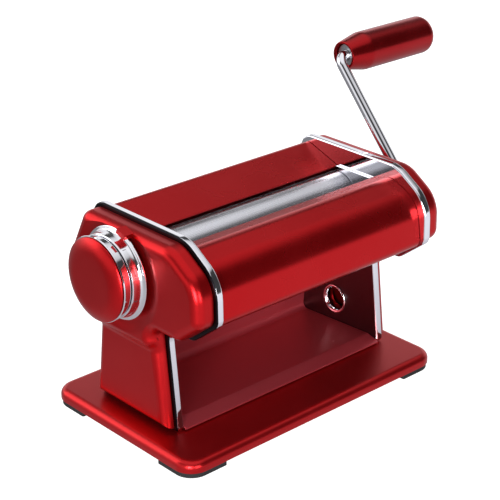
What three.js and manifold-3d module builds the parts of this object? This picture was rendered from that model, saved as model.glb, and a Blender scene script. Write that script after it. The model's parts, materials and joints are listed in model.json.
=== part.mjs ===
// A hand-cranked pasta roller machine: a pressed base plate on rubber corner feet carries two side
// frames, and between the frames run a driven front roller and an adjustable rear roller. A dial knob
// on one side sets the gap, and a crank on the other side turns the rollers.
// Millimetres, +Z up. X runs along the rollers, from the dial (-X) to the crank (+X); the person
// turning the crank stands on the -Y side, where the sheet of dough comes out between the legs.
import * as THREE from "three";
import { mergeVertices } from "three/addons/utils/BufferGeometryUtils.js";
import Module from "manifold-3d";

const wasm = await Module();
wasm.setup();

// ---------------------------------------------------------------- driving dimensions

const clear = 0.3; // left between two pieces that touch

const frame = { span: 156.4, thickness: 5, edge: 1.1 }; // span is the free width between the frames
const base = { overhang: 16.3, depth: 124, height: 6.8, wall: 1.6, corner: 12, edge: 2.6, shiftX: -2.4 };
const foot = { height: 3, arm: 28, width: 9, inset: 0.8, plugHeight: 3 };

const roller = { radius: 14, neck: 8.6, axisHeight: 100.7, rearAxisY: 4.1 };
const gap = { open: 4.8, travel: 4.5 }; // widest gap, and how far the rear roller closes it
const drive = { journal: 8, socket: 4.5, socketDepth: 21, leftJournal: 6 };
const idler = { journal: 5.5, past: 1 }; // past is how far the rear journal stands out of its gear
const bush = { radius: 10.2 };
const block = { depth: 16, height: 15 };
const gear = {
  teeth: 12,
  root: roller.radius - 2.8,
  tip: roller.radius + 2.5,
  rootHalf: 1.7,
  tipHalf: 0.8,
  width: 6.6,
  inset: 1.1,
};

const leg = { footHalf: 34.4, neckHalf: 27.2, neckFillet: 9, cornerRadius: 1.2 };
const head = {
  rise: roller.radius + 15.3, // from the roller axes up to the top edge
  drop: roller.radius + 14, // from the roller axes down to the underside
  frontReach: roller.radius + 22.1, // from the front axis to the nose
  rearReach: 45.6, // from the rear axis to the tail
  frontSlope: { run: 25.3, fall: 16.1 }, // the sloping edge above the nose
  rearSlope: { run: 13.2, fall: 26 },
  underSlope: { run: 20, rise: 15.6 },
  tailSlope: { run: 8.5, rise: 11 },
  noseRadius: 12,
  bendRadius: 9,
  lowRadius: 6,
};

const casing = {
  inset: 2.4,
  legDepth: 6.5,
  legEdge: 3.2,
  headEdge: 6.5,
  wall: 1.6,
  room: 1.2, // free space between the end of the rear roller and the wall
  headDrop: 6.7,
};

const sheet = 1.2; // thickness of the bent covers
const cover = {
  lipY: 7.6,
  lipZ: roller.radius + 2.7,
  crestY: 7.5,
  crestZ: roller.radius + 7.4,
  shoulderZ: 12.9,
  inset: 3.2,
  endInset: 6,
};
const tray = { lipY: 3.4, lipZ: roller.radius + 2.5, rise: 9.6, tail: 9 };
const chute = { frontZ: 3, rearZ: 0.4, frontY: 8, lipY: 1 };
const guard = { thickness: 1.7, top: roller.radius + 2.6, bottom: 11, frontY: 8, rearY: 3 };
const scraper = { length: 11, thickness: 1, angle: 76, skim: 0.45 };
const tie = { radius: 3, nutRadius: 5.2, nutHeight: 4 };
const baseScrew = { radius: 1.4, headRadius: 3.2, headHeight: 2, length: 12, y: 20 };
const eyelet = { outer: 9.4, inner: 6.9, proud: 2.4, lip: 1.3, height: 27.5, y: 2.6 };

// The knob's places run outwards from the face of the left casing.
const knob = { start: 0.8, barrel: 20.9, end: 12.7, travel: 4 };
const knobBore = knob.barrel - 2;
const knobWeb = { start: 4, thickness: 1.4 };
const dial = {
  skirt: knob.barrel + 6.3,
  waist: knob.barrel + 3.5,
  radius: knob.barrel + 2.6,
  width: 7.2,
};
const dish = { radius: dial.skirt + 5.8, floor: dial.skirt + 1.3, depth: 1.5 };
const band = { radius: knob.barrel + 2.2 };
const rim = { radius: knob.barrel + 3.6, thickness: 1.2 };
const cap = { radius: knob.barrel + 3, edge: 0.7, dome: 3.4, wall: 1.6, skirt: 3 };
const shaft = { radius: 5, cam: 9, camWidth: 2.5, tap: 2.3, tapDepth: 8 };
const knobScrew = { radius: 8.5, head: 1.3 };
const spring = { radius: 6.8, wire: 0.35, turns: 2 };
const boss = { radius: 15, flange: 17, width: 1.6 };
const pin = { radius: 1.5, orbit: 12, proud: 2.4 };
const marker = { width: 7, height: 3, proud: 5, lean: 21 };

const crank = { radius: 3.25, throw: 96.9, lean: 40.9, bend: 8.5, gripBend: 6.4, stand: 9.5, tang: 17 };
const grip = {
  start: 4.5,
  length: 74,
  radius: 12,
  mouth: 8.9,
  cone: 15,
  dome: 8,
  bore: crank.radius + 0.35,
  boreDepth: 55,
};
const gripSeat = { radius: 7.4, depth: 5.4, collar: 6.6, collarStart: 2.6, collarWidth: 2 };

// ---------------------------------------------------------------- places worked out from them

const inner = frame.span / 2;
const outer = inner + frame.thickness;
const baseTop = foot.height + base.height;
const axisZ = roller.axisHeight;
const rearY = roller.rearAxisY;
const frontY = rearY - 2 * roller.radius - gap.open;
const headTop = axisZ + head.rise;
const headUnder = axisZ - head.drop;
const noseY = frontY - head.frontReach;
const tailY = rearY + head.rearReach;
const legFoot = baseTop + clear;
const guardInner = inner - clear - guard.thickness;
const rollerHalf = guardInner - clear;
const rearRollerEnd = outer + gear.inset + gear.width + idler.past;
const casingFace = rearRollerEnd + clear + casing.room + casing.wall;
const casingHeadBottom = headUnder - casing.headDrop;
const baseLength = 2 * (outer + base.overhang);

// ---------------------------------------------------------------- materials

function finish(color, roughness, metalness) {
  return new THREE.MeshStandardMaterial({ color, roughness, metalness });
}
const red = finish(0xa5121b, 0.34, 0.75);
const chrome = finish(0xdfe1e6, 0.08, 1);
const rollerSteel = finish(0xc4c7cd, 0.25, 1);
const steel = finish(0x8e9196, 0.4, 1);
const bronze = finish(0xb48a4e, 0.45, 0.9);
const nylon = finish(0xe4e1d8, 0.6, 0);
const rubber = finish(0x19191a, 0.85, 0);

// ---------------------------------------------------------------- outlines

// Rounds the corners of an outline given as [across, up, radius]. An open outline keeps its ends.
function rounded(corners, open = false) {
  const points = [];
  corners.forEach(([x, y, r = 0], i) => {
    const here = new THREE.Vector2(x, y);
    const end = open && (i === 0 || i === corners.length - 1);
    if (end || r <= 0) {
      points.push(here);
      return;
    }
    const n = corners.length;
    const before = new THREE.Vector2(...corners[(i + n - 1) % n].slice(0, 2)).sub(here);
    const after = new THREE.Vector2(...corners[(i + 1) % n].slice(0, 2)).sub(here);
    const reach = Math.min(before.length(), after.length()) * 0.48;
    before.normalize();
    after.normalize();
    const half = Math.acos(THREE.MathUtils.clamp(before.dot(after), -1, 1)) / 2;
    const radius = Math.min(r, reach * Math.tan(half));
    const toMiddle = before.clone().add(after).normalize();
    const middle = toMiddle.multiplyScalar(radius / Math.sin(half)).add(here);
    const start = before.multiplyScalar(radius / Math.tan(half)).add(here).sub(middle).angle();
    const stop = after.multiplyScalar(radius / Math.tan(half)).add(here).sub(middle).angle();
    let turn = stop - start;
    if (turn > Math.PI) turn -= 2 * Math.PI;
    if (turn < -Math.PI) turn += 2 * Math.PI;
    const steps = Math.max(2, Math.ceil(Math.abs(turn) / (Math.PI / 8)));
    for (let k = 0; k <= steps; k++) {
      const a = start + (turn * k) / steps;
      points.push(new THREE.Vector2(middle.x + radius * Math.cos(a), middle.y + radius * Math.sin(a)));
    }
  });
  return points;
}

// Moves every edge of a counter-clockwise outline inwards by a distance, keeping its fillets in step.
function inset(corners, distance) {
  const n = corners.length;
  const edges = corners.map(([x, y], i) => {
    const [nx, ny] = corners[(i + 1) % n];
    const along = new THREE.Vector2(nx - x, ny - y).normalize();
    return { along, at: new THREE.Vector2(x - along.y * distance, y + along.x * distance) };
  });
  return corners.map(([, , r = 0], i) => {
    const a = edges[(i + n - 1) % n];
    const b = edges[i];
    const cross = a.along.cross(b.along);
    const t = b.at.clone().sub(a.at).cross(b.along) / cross;
    const corner = a.at.clone().addScaledVector(a.along, t);
    return [corner.x, corner.y, Math.max(0.2, cross > 0 ? r - distance : r + distance)];
  });
}

// The outline of a bent sheet: its outer face runs along the corners, its thickness lies on one side.
function bentSheet(corners, thickness, side = 1) {
  const face = rounded(corners, true);
  const back = face.map((p, i) => {
    const before = face[Math.max(0, i - 1)];
    const after = face[Math.min(face.length - 1, i + 1)];
    const along = after.clone().sub(before).normalize();
    return new THREE.Vector2(p.x - along.y * thickness * side, p.y + along.x * thickness * side);
  });
  return face.concat(back.reverse());
}

function circle(y, z, radius, steps = 28) {
  return Array.from({ length: steps }, (_, i) => {
    const a = (2 * Math.PI * i) / steps;
    return new THREE.Vector2(y + radius * Math.cos(a), z + radius * Math.sin(a));
  });
}

function rectangle(y0, z0, y1, z1) {
  return [[y0, z0], [y1, z0], [y1, z1], [y0, z1]].map(([y, z]) => new THREE.Vector2(y, z));
}

// ---------------------------------------------------------------- solids

function toSolid(geometry) {
  const g = geometry.clone();
  g.deleteAttribute("normal");
  g.deleteAttribute("uv");
  const merged = mergeVertices(g, 1e-4);
  const kept = [];
  const index = merged.index.array;
  for (let i = 0; i < index.length; i += 3) {
    const [a, b, c] = index.slice(i, i + 3);
    if (a !== b && b !== c && c !== a) kept.push(a, b, c);
  }
  const vertProperties = merged.attributes.position.array;
  const triVerts = new Uint32Array(kept);
  return new wasm.Manifold(new wasm.Mesh({ numProp: 3, vertProperties, triVerts }));
}

function toMesh(name, solid, material) {
  const m = solid.getMesh();
  const g = new THREE.BufferGeometry();
  g.setAttribute("position", new THREE.BufferAttribute(new Float32Array(m.vertProperties), 3));
  g.setIndex(new THREE.BufferAttribute(new Uint32Array(m.triVerts), 1));
  g.computeVertexNormals();
  const mesh = new THREE.Mesh(g, material);
  mesh.name = name;
  return mesh;
}

const alongX = new THREE.Matrix4().makeBasis(
  new THREE.Vector3(0, 1, 0),
  new THREE.Vector3(0, 0, 1),
  new THREE.Vector3(1, 0, 0),
);
const latheToX = new THREE.Matrix4().makeBasis(
  new THREE.Vector3(0, 1, 0),
  new THREE.Vector3(1, 0, 0),
  new THREE.Vector3(0, 0, -1),
);

// A plate standing across X between x0 and x1, from an outline in Y and Z.
function plate(points, x0, x1, edge = 0, segments = 2) {
  const g = new THREE.ExtrudeGeometry(new THREE.Shape(points), {
    depth: x1 - x0 - 2 * edge,
    bevelEnabled: edge > 0,
    bevelThickness: edge,
    bevelSize: edge,
    bevelOffset: -edge,
    bevelSegments: segments,
  });
  g.applyMatrix4(alongX);
  g.translate(x0 + edge, 0, 0);
  return toSolid(g);
}

// A slab lying between two heights, from an outline in X and Y.
function slab(points, z0, z1, edge = 0, segments = 3) {
  const g = new THREE.ExtrudeGeometry(new THREE.Shape(points), {
    depth: z1 - z0 - 2 * edge,
    bevelEnabled: edge > 0,
    bevelThickness: edge,
    bevelSize: edge,
    bevelOffset: -edge,
    bevelSegments: segments,
  });
  g.translate(0, 0, z0 + edge);
  return toSolid(g);
}

// A body turned about an axis along X. The profile is a closed run of [x, radius].
function turned(profile, y = 0, z = 0, segments = 32) {
  const area = profile.reduce((sum, [x, r], i) => {
    const [nx, nr] = profile[(i + 1) % profile.length];
    return sum + x * nr - nx * r;
  }, 0);
  const ordered = area < 0 ? profile : [...profile].reverse();
  const points = ordered.map(([x, r]) => new THREE.Vector2(r, x));
  if (ordered.every(([, r]) => r > 0)) points.push(points[0].clone());
  const g = new THREE.LatheGeometry(points, segments);
  g.applyMatrix4(latheToX);
  g.translate(0, y, z);
  return toSolid(g);
}

// A solid through rings of matching points; the flat outline tells how to close its two ends.
function loft(rings, flat) {
  const n = flat.length;
  const ends = THREE.ShapeUtils.triangulateShape(flat, []);
  const last = (rings.length - 1) * n;
  const index = [];
  for (const [a, b, c] of ends) index.push(c, b, a, last + a, last + b, last + c);
  for (let k = 0; k < rings.length - 1; k++)
    for (let i = 0; i < n; i++) {
      const j = (i + 1) % n;
      const [a, b, c, d] = [k * n + i, k * n + j, (k + 1) * n + j, (k + 1) * n + i];
      index.push(a, b, c, a, c, d);
    }
  const g = new THREE.BufferGeometry();
  const flatPoints = rings.flat().flatMap((p) => [p.x, p.y, p.z]);
  g.setAttribute("position", new THREE.BufferAttribute(new Float32Array(flatPoints), 3));
  g.setIndex(index);
  return toSolid(g);
}

// A plate across X whose far face is rounded over by an edge radius, following an outline that shrinks.
function domed(corners, x0, x1, edge, steps = 3) {
  const flat = rounded(corners(0));
  const ring = (x, shrink) => rounded(corners(shrink)).map((p) => new THREE.Vector3(x, p.x, p.y));
  const rings = [ring(x0, 0)];
  for (let k = 0; k <= steps; k++) {
    const a = (k / steps) * (Math.PI / 2);
    rings.push(ring(x1 - edge + edge * Math.sin(a), edge * (1 - Math.cos(a))));
  }
  return loft(rings, flat);
}

// A round wire along a path. The reference gives, for each point, a direction the section lines up with.
function wire(path, radius, sides, reference) {
  const flat = circle(0, 0, radius, sides);
  const rings = path.map((p, i) => {
    const before = path[Math.max(0, i - 1)];
    const after = path[Math.min(path.length - 1, i + 1)];
    const along = after.clone().sub(before).normalize();
    const u = reference(p).clone();
    u.addScaledVector(along, -u.dot(along)).normalize();
    const v = along.clone().cross(u);
    return flat.map((q) => p.clone().addScaledVector(u, q.x).addScaledVector(v, q.y));
  });
  return loft(rings, flat);
}

function rod(x0, x1, radius, y, z, segments = 20) {
  return turned([[x0, 0], [x0, radius], [x1, radius], [x1, 0]], y, z, segments);
}

function tube(x0, x1, bore, radius, y, z, segments = 28) {
  return turned([[x0, bore], [x1, bore], [x1, radius], [x0, radius]], y, z, segments);
}

function upright(x, y, z0, z1, radius, segments = 16) {
  const g = new THREE.CylinderGeometry(radius, radius, z1 - z0, segments);
  g.rotateX(Math.PI / 2);
  g.translate(x, y, (z0 + z1) / 2);
  return toSolid(g);
}

function box(x0, x1, y0, y1, z0, z1) {
  const g = new THREE.BoxGeometry(x1 - x0, y1 - y0, z1 - z0);
  g.translate((x0 + x1) / 2, (y0 + y1) / 2, (z0 + z1) / 2);
  return toSolid(g);
}

function mirrored(solid, side) {
  return side > 0 ? solid : solid.scale([-1, 1, 1]);
}

function sideName(side) {
  return side < 0 ? "left" : "right";
}

// ---------------------------------------------------------------- shared outlines

// The outline of a side frame: a leg that widens to its foot under a long head.
function frameCorners() {
  return [
    [rearY - leg.footHalf, legFoot, leg.cornerRadius],
    [rearY + leg.footHalf, legFoot, leg.cornerRadius],
    [rearY + leg.neckHalf, headUnder, leg.neckFillet],
    ...headCorners(),
    [rearY - leg.neckHalf, headUnder, leg.neckFillet],
  ];
}

function headCorners() {
  return [
    [tailY - head.tailSlope.run, headUnder, head.lowRadius],
    [tailY, headUnder + head.tailSlope.rise, head.lowRadius],
    [tailY, headTop - head.rearSlope.fall, head.bendRadius],
    [tailY - head.rearSlope.run, headTop, head.bendRadius],
    [noseY + head.frontSlope.run, headTop, head.bendRadius],
    [noseY + 0.6, headTop - head.frontSlope.fall, head.noseRadius],
    [noseY, headUnder + head.underSlope.rise, head.lowRadius],
    [noseY + head.underSlope.run, headUnder, head.lowRadius],
  ];
}

// The thick part of a casing: the head, and the top of the leg down to the casing head's bottom.
function casingHeadCorners() {
  const share = (headUnder - casingHeadBottom) / (headUnder - legFoot);
  const half = leg.neckHalf + (leg.footHalf - leg.neckHalf) * share;
  return [
    [rearY - half, casingHeadBottom, 2],
    [rearY + half, casingHeadBottom, 2],
    [rearY + leg.neckHalf, headUnder, leg.neckFillet],
    ...headCorners(),
    [rearY - leg.neckHalf, headUnder, leg.neckFillet],
  ];
}

function baseCorners() {
  const x = baseLength / 2;
  const y = base.depth / 2;
  return [[-x, -y], [x, -y], [x, y], [-x, y]].map(([cx, cy]) => [cx + base.shiftX, cy, base.corner]);
}

const tieRods = [
  { name: "front", y: noseY + 11, z: axisZ - 9 },
  { name: "rear_low", y: tailY - 10.5, z: axisZ - 11 },
  { name: "rear_high", y: rearY + 31, z: axisZ + 11 },
];
const screwY = [rearY - baseScrew.y, rearY + baseScrew.y];

// ---------------------------------------------------------------- base, feet and chute

function basePlate() {
  const outside = slab(rounded(baseCorners()), foot.height - base.edge, baseTop, base.edge);
  const cut = box(-baseLength, baseLength, -base.depth, base.depth, -base.height, foot.height);
  const hollow = slab(rounded(inset(baseCorners(), base.wall)), 0, baseTop - base.wall);
  const screwX = (inner + outer) / 2;
  let body = outside.subtract(cut).subtract(hollow);
  for (const side of [-1, 1])
    for (const y of screwY) {
      const hole = upright(side * screwX, y, 0, baseTop + 1, baseScrew.radius + clear);
      body = body.subtract(hole);
    }
  return toMesh("base_plate", body, red);
}

function footPads() {
  const pads = new THREE.Group();
  const reachX = baseLength / 2;
  const reachY = base.depth / 2;
  const ring = (from, to, z0, z1) =>
    slab(rounded(inset(baseCorners(), from)), z0, z1).subtract(
      slab(rounded(inset(baseCorners(), to)), z0 - 1, z1 + 1),
    );
  const sole = ring(foot.inset, foot.width, 0, foot.height - clear);
  const plug = ring(base.wall + clear, foot.width, foot.height / 2, foot.height + foot.plugHeight);
  const whole = sole.add(plug);
  for (const side of [-1, 1])
    for (const end of [-1, 1]) {
      const x = base.shiftX + side * reachX;
      const y = end * reachY;
      const corner = box(
        Math.min(x, x - side * foot.arm),
        Math.max(x, x - side * foot.arm),
        Math.min(y, y - end * foot.arm),
        Math.max(y, y - end * foot.arm),
        -1,
        baseTop,
      );
      const name = "foot_" + (end < 0 ? "front" : "rear") + "_" + sideName(side);
      pads.add(toMesh(name, whole.intersect(corner), rubber));
    }
  return pads;
}

function baseScrews() {
  const screws = new THREE.Group();
  for (const side of [-1, 1])
    screwY.forEach((y, i) => {
      const x = side * (inner + outer) * 0.5;
      const under = baseTop - base.wall - clear;
      const head = upright(x, y, under - baseScrew.headHeight, under, baseScrew.headRadius);
      const shank = upright(x, y, under - 0.5, under + baseScrew.length, baseScrew.radius);
      const slot = box(x - 5, x + 5, y - 0.5, y + 0.5, under - baseScrew.headHeight - 1, under - 1.2);
      const name = "base_screw_" + (i ? "rear" : "front") + "_" + sideName(side);
      screws.add(toMesh(name, head.add(shank).subtract(slot), steel));
    });
  return screws;
}

function chutePanel() {
  const wallTop = [rearY + leg.neckHalf - 1.4, headUnder + 1];
  const floor = baseTop + chute.rearZ;
  const wallFoot = [rearY + leg.footHalf - 2, floor, 4];
  const step = [rearY - leg.footHalf + chute.frontY, baseTop + chute.frontZ, 3];
  const lip = [rearY - leg.footHalf - chute.lipY, baseTop + 0.6];
  const outline = bentSheet([wallTop, wallFoot, step, lip], sheet, -1);
  const lifted = outline.map((p) => new THREE.Vector2(p.x, Math.max(p.y, baseTop + clear)));
  return toMesh("chute_panel", plate(lifted, -inner + clear, inner - clear), red);
}

// ---------------------------------------------------------------- side frames and casings

function sideFrame(side) {
  let body = plate(rounded(frameCorners()), inner, outer, frame.edge);
  const through = (points) => plate(points, inner - 1, outer + 1);
  body = body.subtract(through(circle(frontY, axisZ, bush.radius + clear)));
  const slot = rectangle(
    rearY - block.depth / 2 - gap.travel - 2 * clear,
    axisZ - block.height / 2 - clear,
    rearY + block.depth / 2 + clear,
    axisZ + block.height / 2 + clear,
  );
  body = body.subtract(through(slot));
  for (const t of tieRods) body = body.subtract(through(circle(t.y, t.z, tie.radius + clear, 16)));
  const clampHole = circle(rearY + eyelet.y, eyelet.height, eyelet.inner + 1 + clear);
  if (side > 0) body = body.subtract(through(clampHole));
  for (const y of screwY) {
    const depth = baseTop + baseScrew.length;
    body = body.subtract(upright((inner + outer) / 2, y, baseTop, depth, baseScrew.radius + clear));
  }
  return toMesh("side_frame_" + sideName(side), mirrored(body, side), chrome);
}

// The outside of a casing, or its hollow when it is inset and cut back by the wall.
function casingBlank(shrink, dished) {
  const x0 = outer + clear;
  const outline = (corners, extra) => inset(corners, casing.inset + shrink + extra);
  const legFace = x0 + casing.legDepth - shrink;
  const headFace = casingFace - shrink;
  const low = domed((e) => outline(frameCorners(), e), x0 - 3, legFace, casing.legEdge);
  const high = domed((e) => outline(casingHeadCorners(), e), x0 - 3, headFace, casing.headEdge);
  const blank = low.add(high);
  return dished ? blank.subtract(dialDish(shrink)) : blank;
}

// The shallow round dish in the left casing that the dial sits in.
function dialDish(shrink) {
  const floor = casingFace - dish.depth - shrink;
  const profile = [
    [floor, 0],
    [floor, dish.floor + shrink],
    [casingFace - shrink, dish.radius + shrink],
    [casingFace + 1, dish.radius + shrink],
    [casingFace + 1, 0],
  ];
  return turned(profile, rearY, axisZ, 40);
}

function sideCasing(side) {
  const x0 = outer + clear;
  const far = 400;
  const cut = box(x0 - far, x0, -far, far, -far, far);
  const hole = side < 0 ? circle(rearY, axisZ, boss.radius) : circle(frontY, axisZ, drive.journal + 1);
  const body = casingBlank(0, side < 0)
    .subtract(casingBlank(casing.wall, side < 0))
    .subtract(cut)
    .subtract(plate(hole, x0 + 1, casingFace + 1));
  return toMesh("casing_" + sideName(side), mirrored(body, side), red);
}

function tieRodSet() {
  const rods = new THREE.Group();
  for (const t of tieRods) {
    const end = outer + clear + tie.nutHeight + 0.8;
    const spacer = rod(-inner + clear, inner - clear, tie.radius + 1.6, t.y, t.z, 16);
    const threaded = rod(-end, end, tie.radius, t.y, t.z, 16);
    rods.add(toMesh("tie_rod_" + t.name, spacer.add(threaded), steel));
    for (const side of [-1, 1]) {
      const x0 = outer + clear;
      const bore = rod(x0 - 1, x0 + tie.nutHeight + 1, tie.radius + clear, t.y, t.z, 16);
      const nut = rod(x0, x0 + tie.nutHeight, tie.nutRadius, t.y, t.z, 6).subtract(bore);
      rods.add(toMesh("tie_nut_" + t.name + "_" + sideName(side), mirrored(nut, side), steel));
    }
  }
  return rods;
}

function clampEyelet() {
  const y = rearY + eyelet.y;
  const z = eyelet.height;
  const mouth = inner - eyelet.proud;
  const bead = eyelet.outer - eyelet.inner;
  const profile = [
    [mouth + bead * 0.35, eyelet.inner],
    [outer - clear, eyelet.inner],
    [outer - clear, eyelet.inner + 1],
    [inner - clear, eyelet.inner + 1],
    [inner - clear, eyelet.outer],
    [mouth + eyelet.lip * 0.7, eyelet.outer],
    [mouth, eyelet.outer - bead * 0.3],
    [mouth, eyelet.inner + bead * 0.3],
  ];
  return toMesh("clamp_eyelet", turned(profile, y, z, 28), chrome);
}

// ---------------------------------------------------------------- covers, tray, guards, scrapers

function frontCover() {
  const face = noseY + cover.inset;
  const corners = [
    [frontY + cover.lipY, axisZ + cover.lipZ],
    [frontY - cover.crestY, axisZ + cover.crestZ, 5],
    [face + 3.8, axisZ + cover.shoulderZ, 10],
    [face, headUnder + head.underSlope.rise - 1.5, 3],
    [noseY + head.underSlope.run - 1, headUnder + cover.inset, 5],
    [rearY - leg.neckHalf - cover.endInset, headUnder + cover.inset],
  ];
  const outline = bentSheet(corners, sheet, 1);
  return toMesh("front_cover", plate(outline, -inner + clear, inner - clear), red);
}

// Where the bent sheets lie behind the rear slope of the frames.
function rearLine(z) {
  const slope = head.rearSlope.run / head.rearSlope.fall;
  return tailY - cover.inset - 0.3 - Math.max(0, z - (headTop - head.rearSlope.fall)) * slope;
}

const trayLip = [rearY + tray.lipY, axisZ + tray.lipZ];
const trayBackZ = trayLip[1] + tray.rise;
const trayEndZ = trayBackZ - tray.tail;

function feedTray() {
  const corners = [trayLip, [rearLine(trayBackZ), trayBackZ, 4], [rearLine(trayEndZ), trayEndZ]];
  return toMesh("feed_tray", plate(bentSheet(corners, sheet, -1), -inner + clear, inner - clear), red);
}

function rearCover() {
  const top = trayEndZ - 0.8;
  const shoulder = headTop - head.rearSlope.fall;
  const corners = [
    [rearLine(top), top],
    [rearLine(shoulder), shoulder, 9],
    [rearLine(shoulder), headUnder + head.tailSlope.rise + 0.8, 5],
    [tailY - head.tailSlope.run - 2, headUnder + cover.inset, 5],
    [rearY + leg.neckHalf + 1, headUnder + cover.inset],
  ];
  return toMesh("rear_cover", plate(bentSheet(corners, sheet, -1), -inner + clear, inner - clear), red);
}

// A plate beside the ends of the rollers, cut away round their necks, that keeps dough off the frame.
function rollerGuard(side) {
  const top = axisZ + guard.top;
  const bottom = axisZ - guard.bottom;
  const neck = roller.neck + 3 * clear;
  const front = frontY + guard.frontY;
  const tongue = rearY - gap.travel - neck;
  const back = rearY + guard.rearY;
  const corners = [
    [front, bottom],
    [tongue, bottom],
    [tongue, axisZ],
    [back, axisZ],
    [back, top],
    [front, top],
  ];
  const x1 = guardInner + guard.thickness;
  const cut = (points) => plate(points, guardInner - 1, x1 + 1);
  const body = plate(rounded(corners), guardInner, x1)
    .subtract(cut(circle(frontY, axisZ, neck)))
    .subtract(cut(circle(rearY, axisZ, neck)))
    .subtract(cut(circle(rearY - gap.travel, axisZ, neck)))
    .subtract(cut(rectangle(rearY - gap.travel, axisZ - neck, rearY, axisZ + neck)));
  return toMesh("roller_guard_" + sideName(side), mirrored(body, side), chrome);
}

// A spring-steel blade that skims the underside of a roller. Lean is -1 at the front, 1 at the rear.
function scraperBlade(name, axisY, lean) {
  const a = (-scraper.angle * Math.PI) / 180;
  const skim = roller.radius + scraper.skim;
  const tip = [axisY - lean * skim * Math.cos(a), axisZ + skim * Math.sin(a)];
  const heel = [tip[0] + lean * scraper.length * 0.75, tip[1] - scraper.length * 0.35];
  const outline = bentSheet([tip, heel], scraper.thickness, -lean);
  return toMesh(name, plate(outline, -inner + clear, inner - clear), steel);
}

// ---------------------------------------------------------------- rollers, gears and bearings

function frontRoller() {
  const end = casingFace - 2;
  const left = outer + 1;
  const neck = inner - clear;
  const profile = [
    [-left, 0],
    [-left, drive.leftJournal],
    [-neck, drive.leftJournal],
    [-neck, roller.neck],
    [-rollerHalf, roller.neck],
    [-rollerHalf, roller.radius],
    [rollerHalf, roller.radius],
    [rollerHalf, roller.neck],
    [neck, roller.neck],
    [neck, drive.journal],
    [end, drive.journal],
    [end, drive.socket],
    [end - drive.socketDepth, drive.socket],
    [end - drive.socketDepth, 0],
  ];
  return toMesh("front_roller", turned(profile, frontY, axisZ, 40), rollerSteel);
}

function rearRoller() {
  const neck = inner - clear;
  const leftEnd = outer + 0.6;
  const profile = [
    [-leftEnd, 0],
    [-leftEnd, idler.journal],
    [-neck, idler.journal],
    [-neck, roller.neck],
    [-rollerHalf, roller.neck],
    [-rollerHalf, roller.radius],
    [rollerHalf, roller.radius],
    [rollerHalf, roller.neck],
    [neck, roller.neck],
    [neck, idler.journal],
    [rearRollerEnd, idler.journal],
    [rearRollerEnd, 0],
  ];
  return toMesh("rear_roller", turned(profile, rearY, axisZ, 40), rollerSteel);
}

// A gear with long narrow teeth, so that the pair stays in mesh over the whole range of gaps.
function rollerGear(name, y, bore, phase) {
  const pitch = (2 * Math.PI) / gear.teeth;
  const points = [];
  for (let i = 0; i < gear.teeth; i++) {
    const a = i * pitch + phase;
    const rootHalf = gear.rootHalf / gear.root;
    const tipHalf = gear.tipHalf / gear.tip;
    const spots = [
      [gear.root, -rootHalf],
      [gear.tip - 0.6, -tipHalf * 1.3],
      [gear.tip, -tipHalf * 0.6],
      [gear.tip, tipHalf * 0.6],
      [gear.tip - 0.6, tipHalf * 1.3],
      [gear.root, rootHalf],
    ];
    for (const [r, turn] of spots)
      points.push(new THREE.Vector2(y + r * Math.cos(a + turn), axisZ + r * Math.sin(a + turn)));
  }
  const x0 = outer + gear.inset;
  const x1 = x0 + gear.width;
  const hole = plate(circle(y, axisZ, bore), x0 - 1, x1 + 1);
  return toMesh(name, plate(points, x0, x1).subtract(hole), steel);
}

function frontBush(side) {
  const bore = (side < 0 ? drive.leftJournal : drive.journal) + clear;
  const body = tube(inner + 0.1, outer + 0.7, bore, bush.radius, frontY, axisZ);
  return toMesh("front_bush_" + sideName(side), mirrored(body, side), bronze);
}

function adjusterBlock(side) {
  const x0 = inner + 0.1;
  const x1 = outer + 0.7;
  const half = block.depth / 2;
  const corners = [
    [rearY - half, axisZ - block.height / 2, 2],
    [rearY + half, axisZ - block.height / 2, 2],
    [rearY + half, axisZ + block.height / 2, 2],
    [rearY - half, axisZ + block.height / 2, 2],
  ];
  const bore = plate(circle(rearY, axisZ, idler.journal + clear), x0 - 1, x1 + 1);
  const body = plate(rounded(corners), x0, x1).subtract(bore);
  return toMesh("adjuster_block_" + sideName(side), mirrored(body, side), bronze);
}

// ---------------------------------------------------------------- dial knob

// Places on the knob run outwards from the face of the left casing, which is on the -X side.
function onDial(profile, segments = 36) {
  return turned(profile.map(([x, r]) => [-casingFace - x, r]), rearY, axisZ, segments);
}

const webEnd = knobWeb.start + knobWeb.thickness;
const dialEnd = knob.start + dial.width;
const shaftEnd = knob.end - clear;
const rimStart = knob.end + clear;
const capStart = rimStart + rim.thickness + clear;

function knobBush() {
  const back = -dish.depth - casing.wall - clear;
  const front = 0.4 - dish.depth;
  const profile = [
    [back - boss.width, shaft.radius + clear],
    [back - boss.width, boss.flange],
    [back, boss.flange],
    [back, boss.radius - clear],
    [front, boss.radius - clear],
    [front, shaft.radius + clear],
  ];
  const socketEnd = -casingFace + dish.depth + casing.wall;
  const socket = rod(-casingFace - 1, socketEnd, pin.radius + clear, rearY, axisZ - pin.orbit, 16);
  return toMesh("knob_bush", onDial(profile).subtract(socket), nylon);
}

function detentPin() {
  const x0 = -casingFace - pin.proud;
  const x1 = -casingFace + dish.depth + casing.wall - clear;
  return toMesh("detent_pin", rod(x0, x1, pin.radius, rearY, axisZ - pin.orbit, 16), steel);
}

function knobShaft() {
  const back = outer + 0.7 + clear - casingFace;
  const profile = [
    [back, 0],
    [back, shaft.cam],
    [back + shaft.camWidth, shaft.cam],
    [back + shaft.camWidth, shaft.radius],
    [shaftEnd, shaft.radius],
    [shaftEnd, shaft.tap],
    [shaftEnd - shaft.tapDepth, shaft.tap],
    [shaftEnd - shaft.tapDepth, 0],
  ];
  return toMesh("knob_shaft", onDial(profile, 28), steel);
}

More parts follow.
